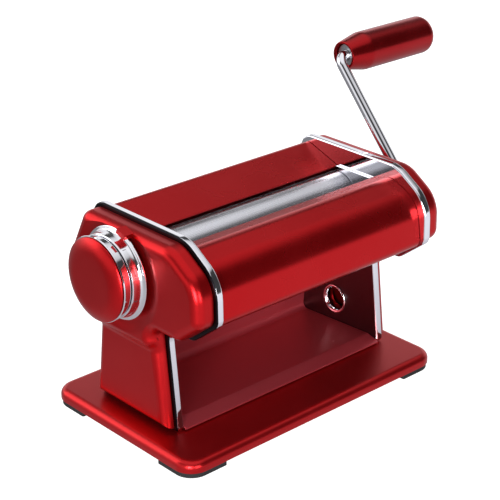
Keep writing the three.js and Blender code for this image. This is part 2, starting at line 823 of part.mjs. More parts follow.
function knobScrewPiece() {
  const start = shaftEnd + clear;
  const end = start + knobScrew.head;
  const profile = [
    [start - shaft.tapDepth + 1, 0],
    [start - shaft.tapDepth + 1, shaft.tap - clear],
    [start, shaft.tap - clear],
    [start, knobScrew.radius],
    [end - 0.4, knobScrew.radius],
    [end, knobScrew.radius - 0.4],
    [end, 0],
  ];
  const top = -casingFace - end;
  const slot = box(top - 1, top + 0.7, rearY - 0.7, rearY + 0.7, axisZ - 20, axisZ + 20);
  return toMesh("knob_screw", onDial(profile, 28).subtract(slot), steel);
}

function knobSpring() {
  const length = shaftEnd - webEnd - knob.travel - 2 * clear - 2 * spring.wire;
  const steps = Math.round(spring.turns * 12);
  const path = Array.from({ length: steps + 1 }, (_, i) => {
    const a = (i / 12) * 2 * Math.PI;
    const x = -casingFace - shaftEnd + spring.wire + (length * i) / steps;
    const y = rearY + spring.radius * Math.cos(a);
    return new THREE.Vector3(x, y, axisZ + spring.radius * Math.sin(a));
  });
  const outwards = (p) => new THREE.Vector3(0, p.y - rearY, p.z - axisZ);
  return toMesh("knob_spring", wire(path, spring.wire, 6, outwards), steel);
}

function knobBody() {
  const profile = [
    [knob.start, knobBore],
    [knob.start, knob.barrel],
    [knob.end, knob.barrel],
    [knob.end, knobBore],
    [webEnd, knobBore],
    [webEnd, shaft.radius + clear],
    [knobWeb.start, shaft.radius + clear],
    [knobWeb.start, knobBore],
  ];
  return toMesh("knob_body", onDial(profile), steel);
}

// The dial flares towards the casing and carries the numbers.
function dialRing() {
  const bore = knob.barrel + clear;
  const profile = [
    [knob.start, bore],
    [knob.start, dial.skirt - 0.5],
    [knob.start + 0.5, dial.skirt],
    [knob.start + 1.2, dial.skirt - 0.4],
    [knob.start + dial.width * 0.45, dial.waist],
    [dialEnd - 0.5, dial.radius],
    [dialEnd, dial.radius - 0.5],
    [dialEnd, bore],
  ];
  return toMesh("dial_ring", onDial(profile), chrome);
}

function knobBand() {
  const start = dialEnd + clear;
  const profile = [
    [start, knob.barrel + clear],
    [start, band.radius - 0.7],
    [start + 0.7, band.radius],
    [knob.end, band.radius],
    [knob.end, knob.barrel + clear],
  ];
  return toMesh("knob_band", onDial(profile), chrome);
}

function knobRim() {
  const end = rimStart + rim.thickness;
  const middle = rimStart + rim.thickness / 2;
  const bore = knobBore + clear;
  const profile = [
    [rimStart, bore],
    [rimStart, rim.radius - 0.5],
    [middle, rim.radius],
    [end, rim.radius - 0.5],
    [end, bore],
  ];
  return toMesh("knob_rim", onDial(profile), chrome);
}

function knobCap() {
  const skirt = knobBore - clear;
  const skirtBore = skirt - cap.wall;
  const brow = capStart + cap.edge;
  const hollow = brow - cap.wall;
  const steps = 5;
  const profile = [[hollow + cap.dome, 0]];
  for (let k = steps - 1; k > 0; k--) {
    const a = (k / steps) * (Math.PI / 2);
    if (cap.radius * Math.cos(a) < skirtBore - 0.5)
      profile.push([hollow + cap.dome * Math.sin(a), cap.radius * Math.cos(a)]);
  }
  profile.push([hollow + cap.dome * Math.sin(Math.acos(skirtBore / cap.radius)), skirtBore]);
  profile.push([capStart - cap.skirt, skirtBore]);
  profile.push([capStart - cap.skirt, skirt]);
  profile.push([capStart, skirt]);
  profile.push([capStart, cap.radius]);
  for (let k = 0; k < steps; k++) {
    const a = (k / steps) * (Math.PI / 2);
    profile.push([brow + cap.dome * Math.sin(a), cap.radius * Math.cos(a)]);
  }
  profile.push([brow + cap.dome, 0]);
  return toMesh("knob_cap", onDial(profile), red);
}

// A small pointer on the casing just outside the dial, leaning towards the front.
function indexTab() {
  const z0 = dial.skirt + clear;
  const half = marker.width / 2;
  const tab = box(-casingFace - marker.proud, -casingFace - clear, -half, half, z0, z0 + marker.height);
  const stem = box(-casingFace - 1, -casingFace + dish.depth - clear, -half, half, z0, z0 + 1.2);
  const placed = tab.add(stem).rotate([marker.lean, 0, 0]).translate([0, rearY, axisZ]);
  return toMesh("index_tab", placed, red);
}

// ---------------------------------------------------------------- crank

const lean = (crank.lean * Math.PI) / 180;
const armPlane = casingFace + crank.stand;
const gripY = frontY + crank.throw * Math.sin(lean);
const gripZ = axisZ + crank.throw * Math.cos(lean);
const gripStart = armPlane + grip.start;
const boreEnd = gripStart + grip.boreDepth;

function crankRod() {
  const armAxis = new THREE.Vector3(0, Math.sin(lean), Math.cos(lean));
  const out = new THREE.Vector3(1, 0, 0);
  const start = new THREE.Vector3(armPlane, frontY, axisZ);
  const top = new THREE.Vector3(armPlane, gripY, gripZ);
  const tangStart = start.clone().setX(casingFace - 2 - crank.tang);
  const end = top.clone().setX(boreEnd - 1);
  const path = [tangStart];
  const bend = (corner, from, to, radius) => {
    for (let k = 0; k <= 6; k++) {
      const a = (k / 6) * (Math.PI / 2);
      const point = corner.clone().addScaledVector(from, -radius * (1 - Math.sin(a)));
      path.push(point.addScaledVector(to, radius * (1 - Math.cos(a))));
    }
  };
  bend(start, out, armAxis, crank.bend);
  bend(top, armAxis, out, crank.gripBend);
  path.push(end);
  const across = armAxis.clone().cross(out);
  return toMesh("crank_rod", wire(path, crank.radius, 14, () => across), chrome);
}

function crankCollar() {
  const x0 = gripStart + gripSeat.collarStart;
  const body = tube(x0, x0 + gripSeat.collarWidth, crank.radius + clear, gripSeat.collar, gripY, gripZ);
  return toMesh("crank_collar", body, steel);
}

function crankGrip() {
  const end = gripStart + grip.length;
  const seat = gripStart + gripSeat.depth;
  const profile = [
    [boreEnd, 0],
    [boreEnd, grip.bore],
    [seat, grip.bore],
    [seat, gripSeat.radius],
    [gripStart, gripSeat.radius],
    [gripStart, grip.mouth - 0.5],
    [gripStart + 0.5, grip.mouth],
    [gripStart + grip.cone * 0.75, grip.radius - 0.4],
    [gripStart + grip.cone, grip.radius],
  ];
  for (let k = 0; k <= 5; k++) {
    const a = (k / 5) * (Math.PI / 2);
    const flat = grip.radius - grip.dome;
    profile.push([end - grip.dome * (1 - Math.sin(a)), flat + grip.dome * Math.cos(a)]);
  }
  profile.push([end, 0]);
  return toMesh("crank_grip", turned(profile, gripY, gripZ, 32), red);
}

// ---------------------------------------------------------------- assembly

const machine = new THREE.Group();
machine.name = "pasta_roller";
machine.add(basePlate());
machine.add(footPads());
machine.add(baseScrews());
machine.add(chutePanel());
for (const side of [-1, 1]) {
  machine.add(sideFrame(side));
  machine.add(sideCasing(side));
  machine.add(rollerGuard(side));
  machine.add(frontBush(side));
  machine.add(adjusterBlock(side));
}
machine.add(tieRodSet());
machine.add(clampEyelet());
machine.add(frontCover());
machine.add(feedTray());
machine.add(rearCover());
machine.add(scraperBlade("front_scraper", frontY, -1));
machine.add(scraperBlade("rear_scraper", rearY, 1));
machine.add(frontRoller());
machine.add(rearRoller());
machine.add(rollerGear("front_gear", frontY, drive.journal + clear, 0));
machine.add(rollerGear("rear_gear", rearY, idler.journal + clear, Math.PI / gear.teeth));
machine.add(knobBush());
machine.add(detentPin());
machine.add(knobShaft());
machine.add(knobScrewPiece());
machine.add(knobSpring());
machine.add(knobBody());
machine.add(dialRing());
machine.add(knobBand());
machine.add(knobRim());
machine.add(knobCap());
machine.add(indexTab());
machine.add(crankRod());
machine.add(crankCollar());
machine.add(crankGrip());

// The origin is the middle of the object's bounding box, on the surface it stands on.
const bounds = new THREE.Box3().setFromObject(machine, true);
const middle = bounds.getCenter(new THREE.Vector3());
machine.position.set(-middle.x, -middle.y, -bounds.min.z);

const model = new THREE.Group();
model.add(machine);
export default model;
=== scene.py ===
"""The looks of a hand-cranked pasta roller: lacquered sheet, polished frames, satin rollers.

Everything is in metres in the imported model's own frame: X runs along the rollers from the dial to
the crank, Y from the delivery side to the rear, and Z up from the table."""
import json
import math

import bmesh
import bpy
from mathutils import Matrix, Vector


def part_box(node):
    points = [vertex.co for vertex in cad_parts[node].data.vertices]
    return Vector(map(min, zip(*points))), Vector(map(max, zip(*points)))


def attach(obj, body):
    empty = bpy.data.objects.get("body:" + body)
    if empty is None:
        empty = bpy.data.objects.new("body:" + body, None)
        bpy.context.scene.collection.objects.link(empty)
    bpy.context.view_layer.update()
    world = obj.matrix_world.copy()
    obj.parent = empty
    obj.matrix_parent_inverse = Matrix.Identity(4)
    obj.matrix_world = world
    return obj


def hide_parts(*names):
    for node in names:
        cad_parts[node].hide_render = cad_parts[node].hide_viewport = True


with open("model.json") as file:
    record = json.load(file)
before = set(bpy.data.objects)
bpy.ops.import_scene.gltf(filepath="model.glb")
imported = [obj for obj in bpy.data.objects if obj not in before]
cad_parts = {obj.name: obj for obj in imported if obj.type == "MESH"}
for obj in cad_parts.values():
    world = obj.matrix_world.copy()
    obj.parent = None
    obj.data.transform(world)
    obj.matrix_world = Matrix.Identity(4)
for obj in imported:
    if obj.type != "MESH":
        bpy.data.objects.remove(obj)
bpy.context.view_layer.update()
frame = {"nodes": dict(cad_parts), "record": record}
MM = 0.001


# ---------------------------------------------------------------- places, in millimetres


def box(node):
    low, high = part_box(node)
    return Vector(low) / MM, Vector(high) / MM


def middle(node):
    low, high = box(node)
    return (low + high) / 2


MID_X = (box("side_frame_left")[0].x + box("side_frame_right")[1].x) / 2
INNER = box("side_frame_right")[0].x - MID_X
OUTER = box("side_frame_right")[1].x - MID_X
AXIS_Z = middle("rear_roller").z
FRONT_Y = middle("front_roller").y
REAR_Y = middle("rear_roller").y
ROLLER_R = box("rear_roller")[1].z - AXIS_Z
TAIL_Y = box("side_frame_left")[1].y
NOSE_Y = box("side_frame_left")[0].y
HEAD_TOP = box("side_frame_left")[1].z
LEG_FOOT = box("side_frame_left")[0].z
HEAD_UNDER = AXIS_Z - 28
CASING_FACE = box("casing_right")[1].x - MID_X
BASE_TOP = box("base_plate")[1].z
KNOB_FACE = MID_X - CASING_FACE
CLEAR = 0.3  # between neighbours
GUARD = 1.7  # thickness of the roller guards
SHEET = 1.2  # thickness of the bent sheets
PRESSING = 1.6  # wall of the casings and the base
LEG_DEPTH = 6.5  # depth of a casing over the leg
KNOB_BORE = 21.2  # radius inside the rings of the knob
BARREL_NECK = 8.6  # radius of a roller where it passes its guard
SKIN = 0.06  # depth of a painted face
# The dark line is painted shade: the shadowed gap between a frame and its casing, painted onto the frame's
# rim.
GAP_SHADE_WIDTH = 0.8  # width of the dark line between a frame and its casing
SPOT = 0.02  # how close a point lies to count as on a corner


# ---------------------------------------------------------------- shader workshop


class Socket:
    """One value on its way through a material, with arithmetic that adds Math nodes."""

    def __init__(self, maker, link):
        self.maker = maker
        self.link = link

    def _math(self, operation, *values):
        return self.maker.node("ShaderNodeMath", {"operation": operation}, dict(enumerate(values)))

    def __add__(self, other):
        return self._math("ADD", self, other)

    def __radd__(self, other):
        return self._math("ADD", other, self)

    def __sub__(self, other):
        return self._math("SUBTRACT", self, other)

    def __rsub__(self, other):
        return self._math("SUBTRACT", other, self)

    def __mul__(self, other):
        return self._math("MULTIPLY", self, other)

    def __rmul__(self, other):
        return self._math("MULTIPLY", other, self)

    def clamp(self):
        return self._math("MAXIMUM", self._math("MINIMUM", self, 1.0), 0.0)

    def less(self, limit):
        return self._math("LESS_THAN", self, limit)

    def more(self, limit):
        return self._math("GREATER_THAN", self, limit)

    def absolute(self):
        return self._math("ABSOLUTE", self)

    def ramp(self, low, high, start=0.0, stop=1.0):
        """The value mapped from low..high to start..stop, and held at the ends."""
        inputs = {"Value": self, "From Min": low, "From Max": high, "To Min": start, "To Max": stop}
        return self.maker.node("ShaderNodeMapRange", {"clamp": True}, inputs)


class Finish:
    """A material under construction on one Principled BSDF."""

    def __init__(self, name, **fixed):
        self.material = bpy.data.materials.new(name)
        self.material.use_nodes = True
        self.tree = self.material.node_tree
        self.tree.nodes.clear()
        self.output = self.tree.nodes.new("ShaderNodeOutputMaterial")
        self.bsdf = self.tree.nodes.new("ShaderNodeBsdfPrincipled")
        self.tree.links.new(self.bsdf.outputs[0], self.output.inputs[0])
        for key, value in fixed.items():
            self.set(key.replace("_", " "), value)

    def plug(self, socket, value):
        if isinstance(value, Socket):
            self.tree.links.new(value.link, socket)
        elif socket.type == "RGBA" and len(value) == 3:
            socket.default_value = (*value, 1.0)
        else:
            socket.default_value = value

    def node(self, kind, settings=None, inputs=None, out=0):
        made = self.tree.nodes.new(kind)
        for key, value in (settings or {}).items():
            setattr(made, key, value)
        for key, value in (inputs or {}).items():
            self.plug(made.inputs[key], value)
        return Socket(self, made.outputs[out])

    def set(self, name, value):
        socket = next(s for s in self.bsdf.inputs if s.name.lower() == name.lower())
        self.plug(socket, value)

    def place(self):
        return self.node("ShaderNodeTexCoord", out="Object")

    def axis(self, name):
        return self.node("ShaderNodeSeparateXYZ", inputs={0: self.place()}, out=name)

    def stretched(self, scale):
        return self.node("ShaderNodeMapping", inputs={"Vector": self.place(), "Scale": scale})

    def noise(self, scale, detail=2.0, roughness=0.5, stretch=(1, 1, 1)):
        inputs = {"Vector": self.stretched(stretch), "Scale": scale, "Detail": detail, "Roughness": roughness}
        return self.node("ShaderNodeTexNoise", inputs=inputs)

    def mix(self, factor, a, b):
        settings = {"data_type": "RGBA"}
        return self.node("ShaderNodeMix", settings, {0: factor, 6: a, 7: b}, out=2)

    def bump(self, height, strength, distance=0.0001):
        inputs = {"Height": height, "Strength": strength, "Distance": distance}
        self.set("Normal", self.node("ShaderNodeBump", inputs=inputs))


def lacquer(name, colour, roughness, metallic=0.86, coat=0.08, flake=0.04):
    """Metallic lacquer: a fine flake under a clear coat, a little uneven over a hand's width."""
    f = Finish(name, IOR=1.4, Coat_Roughness=0.3, Coat_IOR=1.45)
    flakes = f.noise(2600, 1.0)
    peel = f.noise(420, 1.0)
    clouds = f.noise(26, 3.0, 0.6)
    darker = tuple(c * 0.82 for c in colour)
    f.set("Base Color", f.mix((clouds * 0.5 + flakes * 0.5).clamp(), darker, colour))
    f.set("Roughness", clouds.ramp(0.3, 0.7, roughness - 0.03, roughness + 0.03))
    f.set("Metallic", metallic + flakes * flake)
    f.set("Coat Weight", clouds.ramp(0.3, 0.7, coat, coat + 0.08))
    f.bump(peel, 0.03, 0.00002)
    return f.material


def polished(name, roughness=0.035, colour=(0.86, 0.86, 0.9)):
    """Mirror plating with the faintest wiping marks."""
    f = Finish(name, Metallic=1.0)
    wipes = f.noise(180, 3.0, 0.6, (1, 1, 6))
    f.set("Base Color", f.mix(wipes, tuple(c * 0.97 for c in colour), colour))
    f.set("Roughness", wipes.ramp(0.3, 0.75, roughness * 0.7, roughness * 1.5))
    return f.material


def frame_plating():
    """Bright plating. The inner face of each leg is painted dark red, darkening towards the base as painted
    shade, and the rim where the casing meets it is painted near black as a line of painted shade.
    """
    f = Finish("frame plating", Metallic=1.0)
    wipes = f.noise(180, 3.0, 0.6, (1, 1, 6))
    bright = f.mix(wipes, (0.83, 0.83, 0.88), (0.86, 0.86, 0.91))
    inner = (f.axis("X") - MID_X * MM).absolute().less((INNER + SKIN) * MM)
    # Inner face of each leg below the head, painted dark red instead of bright plating.
    dark_inner_leg = inner * f.axis("Z").less((HEAD_UNDER + 2) * MM)
    # Painted shade: near black at the base, lifting to dark red higher up the leg.
    leg_painted_shade = f.mix(f.axis("Z").ramp(0.01, 0.07), (0.014, 0.001, 0.002), (0.07, 0.004, 0.006))
    # Painted shade: a near-black line along the outer rim where the casing sits, standing in for the shadowed
    # gap.
    gap_shade = (f.axis("X") - MID_X * MM).absolute().more((OUTER - GAP_SHADE_WIDTH) * MM)
    f.set("Base Color", f.mix(gap_shade, f.mix(dark_inner_leg, bright, leg_painted_shade), (0.01, 0.008, 0.01)))
    f.set("Roughness", wipes.ramp(0.3, 0.75, 0.025, 0.06) + dark_inner_leg * 0.3 + gap_shade * 0.3)
    f.set("Metallic", 1.0 - dark_inner_leg * 0.6)
    return f.material


def ground_roller():
    """Rollers ground along their length and lightly ringed by the wheel."""
    f = Finish("roller ground satin", Metallic=1.0)
    streaks = f.noise(420, 4.0, 0.65, (0.02, 1, 1))
    rings = f.noise(900, 2.0, 0.5, (1, 0.02, 0.02))
    f.set("Base Color", f.mix(streaks, (0.72, 0.72, 0.77), (0.95, 0.95, 1.0)))
    f.set("Roughness", streaks.ramp(0.25, 0.75, 0.2, 0.34))
    f.bump(streaks * 0.7 + rings * 0.3, 0.06, 0.00003)
    return f.material


def turned_steel():
    f = Finish("plain turned steel", Metallic=1.0)
    marks = f.noise(700, 3.0, 0.6)
    f.set("Base Color", f.mix(marks, (0.33, 0.33, 0.35), (0.56, 0.56, 0.58)))
    f.set("Roughness", marks.ramp(0.3, 0.7, 0.28, 0.45))
    f.bump(marks, 0.08, 0.00003)
    return f.material


def bearing_bronze():
    f = Finish("sintered bronze", Metallic=1.0)
    grains = f.noise(2600, 2.0, 0.6)
    f.set("Base Color", f.mix(grains, (0.36, 0.22, 0.09), (0.62, 0.43, 0.2)))
    f.set("Roughness", grains.ramp(0.3, 0.7, 0.4, 0.6))
    f.bump(grains, 0.2, 0.00003)
    return f.material


def moulded_nylon():
    f = Finish("moulded nylon", Specular_IOR_Level=0.4)
    mottle = f.noise(1500, 2.0)
    f.set("Base Color", f.mix(mottle, (0.66, 0.64, 0.58), (0.78, 0.76, 0.7)))
    f.set("Roughness", mottle.ramp(0.3, 0.7, 0.5, 0.62))
    f.bump(mottle, 0.1, 0.00004)
    return f.material


def number_paint():
    f = Finish("number paint", Metallic=0.0, Coat_Weight=0.1)
    wear = f.noise(900, 3.0)
    f.set("Base Color", f.mix(wear.ramp(0.35, 0.7), (0.015, 0.01, 0.012), (0.05, 0.04, 0.045)))
    f.set("Roughness", wear.ramp(0.3, 0.7, 0.35, 0.5))
    return f.material


def foot_rubber():
    f = Finish("foot rubber", Specular_IOR_Level=0.3)
    grain = f.noise(3200, 3.0, 0.7)
    dust = f.noise(240, 3.0, 0.6)
    f.set("Base Color", f.mix(dust, (0.008, 0.008, 0.009), (0.028, 0.027, 0.027)))
    f.set("Roughness", grain.ramp(0.3, 0.7, 0.62, 0.85))
    f.bump(grain, 0.35, 0.00006)
    return f.material


def white_sweep():
    """The paper the machine stands on, lit until it shows no edge."""
    f = Finish("studio paper", Specular_IOR_Level=0.0, Roughness=1.0, Emission_Strength=1.0)
    cloth = f.noise(60, 2.0)
    f.set("Base Color", f.mix(cloth, (0.5, 0.5, 0.5), (0.52, 0.52, 0.52)))
    f.set("Emission Color", f.mix(cloth, (0.98, 0.98, 0.98), (1.0, 1.0, 1.0)))
    return f.material


def grey_table():
    """The table under the paper, which the plating mirrors: bright in front, falling off behind."""
    f = Finish("studio table", Specular_IOR_Level=0.0, Roughness=1.0, Emission_Strength=1.0)
    forward = f.axis("X") * 0.2 - f.axis("Y")
    level = forward.ramp(-0.25, 0.3)
    f.set("Base Color", f.mix(level, (0.2, 0.2, 0.2), (0.5, 0.5, 0.51)))
    f.set("Emission Color", f.mix(level, (0.13, 0.13, 0.14), (0.62, 0.62, 0.66)))
    return f.material


RED = (0.56, 0.007, 0.01)
finishes = {
    "base_red": lacquer("base lacquer", RED, 0.33, coat=0.25),
    # The chute and rear hood get a paler, pinker red than the other lacquer: a painted sheen standing in for
    # the soft white reflection on them.
    "sheet_red": lacquer("chute lacquer with painted sheen", (0.52, 0.05, 0.066), 0.42, 0.55, 0.5),
    "tray_red": lacquer("tray lacquer", RED, 0.27),
    "cover_red": lacquer("cover lacquer", RED, 0.27, coat=0.05),
    "casing_red": lacquer("casing lacquer", RED, 0.31),
    "frame_chrome": frame_plating(),
    "guard_chrome": polished("guard plating", 0.12, (0.6, 0.6, 0.64)),
    "trim_chrome": polished("trim plating", 0.03),
    "crank_chrome": polished("crank plating", 0.04),
    "roller_satin": ground_roller(),
    "steel": turned_steel(),
    "bronze": bearing_bronze(),
    "nylon": moulded_nylon(),
    "rubber": foot_rubber(),
    "dial_chrome": polished("dial plating", 0.1),
    "cap_red": lacquer("cap lacquer", RED, 0.31),
    "grip_red": lacquer("grip lacquer", (0.4, 0.006, 0.009), 0.24),
}

slot_of = {part["node"]: part["material_slot"] for part in frame["record"]["subparts"]}
for name, node in frame["nodes"].items():
    node.data.materials.clear()
    node.data.materials.append(finishes[slot_of[name]])


# ---------------------------------------------------------------- bench: shaping by hand


def deselect():
    if bpy.context.mode != "OBJECT":
        bpy.ops.object.mode_set(mode="OBJECT")
    bpy.ops.object.select_all(action="DESELECT")


def edit(piece, kind="VERT"):
    """Opens a piece for editing with nothing selected."""
    deselect()
    piece.select_set(True)
    bpy.context.view_layer.objects.active = piece
    bpy.ops.object.mode_set(mode="EDIT")
    bpy.ops.mesh.select_mode(type=kind)
    bpy.ops.mesh.select_all(action="DESELECT")


def close():
    bpy.ops.object.mode_set(mode="OBJECT")


def pick(piece, kind, test):
    """Selects the open piece's vertices, edges or faces that pass a test, and says how many."""
    bpy.ops.mesh.select_mode(type=kind)
    bpy.ops.mesh.select_all(action="DESELECT")
    mesh = bmesh.from_edit_mesh(piece.data)
    mesh.normal_update()
    found = [e for e in {"VERT": mesh.verts, "EDGE": mesh.edges, "FACE": mesh.faces}[kind] if test(e)]
    for element in found:
        element.select_set(True)
    mesh.select_flush_mode()
    bmesh.update_edit_mesh(piece.data)
    return len(found)


def started(name):
    """Names the primitive just added and puts its place into its mesh."""
    piece = bpy.context.object
    piece.name = name
    piece.data.name = name
    bpy.ops.object.transform_apply(location=True, rotation=True, scale=True)
    return piece


def first_point(name, place):
    """A new piece holding a single point, ready to be drawn out."""
    deselect()
    bpy.ops.mesh.primitive_plane_add(size=MM, location=Vector(place) * MM)
    piece = started(name)
    edit(piece)
    bpy.ops.mesh.select_all(action="SELECT")
    bpy.ops.mesh.merge(type="CENTER")
    return piece


def draw_out(path):
    """Extrudes the selected point of the open piece from place to place."""
    for here, there in zip(path, path[1:]):
        step = (Vector(there) - Vector(here)) * MM
        bpy.ops.mesh.extrude_region_move(TRANSFORM_OT_translate={"value": step})


def outwards():
    bpy.ops.mesh.select_all(action="SELECT")
    bpy.ops.mesh.remove_doubles(threshold=0.000002)
    bpy.ops.mesh.normals_make_consistent(inside=False)


def run(kind, piece, **settings):
    """Adds a modifier, sets it and applies it."""
    deselect()
    piece.select_set(True)
    bpy.context.view_layer.objects.active = piece
    modifier = piece.modifiers.new(kind.title(), kind)
    for key, value in settings.items():
        setattr(modifier, key, value)
    bpy.ops.object.modifier_apply(modifier=modifier.name)


def soften(piece, width, steps=3, angle=35):
    """Breaks the sharp edges of a piece."""
    run("BEVEL", piece, width=width * MM, segments=steps, limit_method="ANGLE",
        angle_limit=math.radians(angle), use_clamp_overlap=True, harden_normals=False)


def smooth(piece, angle=32):
    deselect()
    piece.select_set(True)
    bpy.context.view_layer.objects.active = piece
    bpy.ops.object.shade_smooth_by_angle(angle=math.radians(angle))
    run("WEIGHTED_NORMAL", piece, keep_sharp=True, weight=60)


def finished(piece, body, slot, *nodes):
    """Gives a piece its finish and lets it stand for CAD nodes on a body."""
    smooth(piece)
    piece.data.materials.clear()
    piece.data.materials.append(finishes[slot])
    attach(piece, body)
    if nodes:
        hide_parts(*nodes)
    deselect()


def corner_turn(corners, i):
    before = Vector(corners[i][:2]) - Vector(corners[i - 1][:2])
    after = Vector(corners[(i + 1) % len(corners)][:2]) - Vector(corners[i][:2])
    return abs(before.angle_signed(after))


def plate(name, corners, start, end, axis="X"):
    """A plate cut to an outline of [across, up, radius] and given its thickness along an axis."""
    along = {"X": lambda a, b, d: (d, a, b), "Z": lambda a, b, d: (a, b, d)}[axis]
    places = [along(c[0], c[1], start) for c in corners]
    piece = first_point(name, places[0])
    draw_out(places)
    bpy.ops.mesh.select_all(action="SELECT")
    bpy.ops.mesh.edge_face_add()
    thickness = Vector(along(0, 0, end - start)) * MM
    bpy.ops.mesh.extrude_region_move(TRANSFORM_OT_translate={"value": thickness})
    outwards()
    close()
    return piece


def round_corners(piece, corners, axis="X"):
    """Rounds each corner of a plate to its radius."""
    k = "XYZ".index(axis)
    others = [j for j in range(3) if j != k]
    for i, corner in enumerate(corners):
        if not corner[2]:
            continue
        turn = corner_turn(corners, i)
        spot = Vector(corner[:2]) * MM

        def on_corner(edge):
            return all(
                (Vector([v.co[j] for j in others]) - spot).length < SPOT * MM for v in edge.verts
            )

        edit(piece, "EDGE")
        if pick(piece, "EDGE", on_corner):
            steps = max(3, round(math.degrees(turn) / 9))
            bpy.ops.mesh.bevel(offset=corner[2] * math.tan(turn / 2) * MM, segments=steps,
                               profile=0.5, affect="EDGES", clamp_overlap=False)
        close()


def moved_in(corners, distance):
    """An outline, drawn anticlockwise, with each edge moved inwards and its radii kept in step."""
    edges = []
    for i, corner in enumerate(corners):
        a, b = Vector(corner[:2]), Vector(corners[(i + 1) % len(corners)][:2])
        along = (b - a).normalized()
        edges.append((a + Vector((-along.y, along.x)) * distance, along))
    moved = []
    for i, corner in enumerate(corners):
        (p, u), (q, v) = edges[i - 1], edges[i]
        cross = u.x * v.y - u.y * v.x
        gap = q - p
        place = p + u * ((gap.x * v.y - gap.y * v.x) / cross)
        radius = corner[2]
        if radius:
            radius = max(0.4, radius - distance if cross > 0 else radius + distance)
        moved.append((place.x, place.y, radius))
    return moved


def cylinder(name, start, end, radius, y, z, sides=64):
    deselect()
    bpy.ops.mesh.primitive_cylinder_add(
        vertices=sides, radius=radius * MM, depth=(end - start) * MM,
        location=Vector(((start + end) / 2, y, z)) * MM, rotation=(0, math.pi / 2, 0),
    )
    return started(name)


def block(name, low, high):
    deselect()
    low, high = Vector(low) * MM, Vector(high) * MM
    bpy.ops.mesh.primitive_cube_add(size=1, location=(low + high) / 2, scale=high - low)
    return started(name)


def cut_with(piece, tool):
    run("BOOLEAN", piece, object=tool, operation="DIFFERENCE", solver="EXACT")
    bpy.data.objects.remove(tool)


def drill_down(piece, spot, z, depth):
    """A screw's hole through a piece, centred at a height."""
    deselect()
    bpy.ops.mesh.primitive_cylinder_add(vertices=24, radius=1.7 * MM, depth=depth * MM,
                                        location=(spot.x * MM, spot.y * MM, z * MM))
    cut_with(piece, started("tool"))


def turned(name, profile, y, z, steps=72):
    """A body spun about an axis along X from a run of (place, radius)."""
    path = [(x, y, z + r) for x, r in profile]
    piece = first_point(name, path[0])
    on_axis = profile[0][1] == 0 and profile[-1][1] == 0
    draw_out(path if on_axis else path + path[:1])
    bpy.ops.mesh.select_all(action="SELECT")
    bpy.ops.mesh.spin(steps=steps, angle=2 * math.pi, center=Vector((0, y, z)) * MM,
                      axis=(1, 0, 0), use_auto_merge=True)
    outwards()
    bpy.ops.mesh.dissolve_degenerate(threshold=0.000002)
    outwards()
    close()
    return piece


def arc(x, r, start, stop, radius, steps=8):
    """Places of a rounding in a turned profile; angles in degrees, 0 along the axis, 90 outwards."""
    angles = [math.radians(start + (stop - start) * k / steps) for k in range(steps + 1)]
    return [(x + radius * math.cos(a), r + radius * math.sin(a)) for a in angles]


def bent_sheet(name, corners, x0, x1):
    """Sheet folded along X. The corners (across, up, radius) run along its outer face."""
    places = [(x0, c[0], c[1]) for c in corners]
    piece = first_point(name, places[0])
    draw_out(places)
    bpy.ops.mesh.select_all(action="SELECT")
    bpy.ops.mesh.extrude_region_move(TRANSFORM_OT_translate={"value": Vector((x1 - x0, 0, 0)) * MM})
    close()
    for i in range(1, len(corners) - 1):
        if len(corners[i]) < 3:
            continue
        turn = corner_turn(corners, i)
        spot = Vector(corners[i][:2]) * MM
        edit(piece, "EDGE")
        pick(piece, "EDGE", lambda e: all((Vector(v.co.yz) - spot).length < SPOT * MM for v in e.verts))
        bpy.ops.mesh.bevel(offset=corners[i][2] * math.tan(turn / 2) * MM,
                           segments=max(3, round(math.degrees(turn) / 7)), profile=0.5,
                           affect="EDGES", clamp_overlap=False)
        close()
    face_out(piece)
    run("SOLIDIFY", piece, thickness=SHEET * MM, offset=-1.0)
    soften(piece, 0.25, 2, 50)
    return piece


def face_out(piece):
    """Turns an open sheet so that its highest face looks up."""
    edit(piece, "FACE")
    mesh = bmesh.from_edit_mesh(piece.data)
    mesh.normal_update()
    mesh.faces.ensure_lookup_table()
    highest = max(mesh.faces, key=lambda f: f.calc_center_median().z)
    if highest.normal.z < 0:
        bpy.ops.mesh.select_all(action="SELECT")
        bpy.ops.mesh.flip_normals()
    close()


# ---------------------------------------------------------------- side frames and casings


def frame_outline(low=6.0, neck=8.0, foot=2.2):
    """A leg that widens to its foot under a long head, drawn anticlockwise from the front of the foot."""
    return [
        (REAR_Y - 34.4, LEG_FOOT, foot),
        (REAR_Y + 34.4, LEG_FOOT, foot),
        (REAR_Y + 27.2, HEAD_UNDER, neck),
        (TAIL_Y - 8.5, HEAD_UNDER, low),
        (TAIL_Y, HEAD_UNDER + 11, low),
        (TAIL_Y, HEAD_TOP - 26, 9),
        (TAIL_Y - 13.2, HEAD_TOP, 9),
        (NOSE_Y + 25.3, HEAD_TOP, 19),
        (NOSE_Y + 0.6, HEAD_TOP - 16.1, 21),
        (NOSE_Y, HEAD_UNDER + 15.6, low),
        (NOSE_Y + 20, HEAD_UNDER, low),
        (REAR_Y - 27.2, HEAD_UNDER, neck),
    ]


def on_rim(sign):
    """Tests for the edges between the outer skin and the walls of a casing or frame."""

    def test(edge):
        if len(edge.link_faces) != 2:
            return False
        a, b = sorted(abs(f.normal.x) for f in edge.link_faces)
        outer = max(edge.link_faces, key=lambda f: abs(f.normal.x))
        return a < 0.05 and b > 0.3 and outer.normal.x * sign > 0

    return test


def rounded_rim(piece, test, radius, steps):
    edit(piece, "EDGE")
    pick(piece, "EDGE", test)
    bpy.ops.mesh.bevel(offset=radius * MM, segments=steps, profile=0.5, affect="EDGES", clamp_overlap=False)
    close()


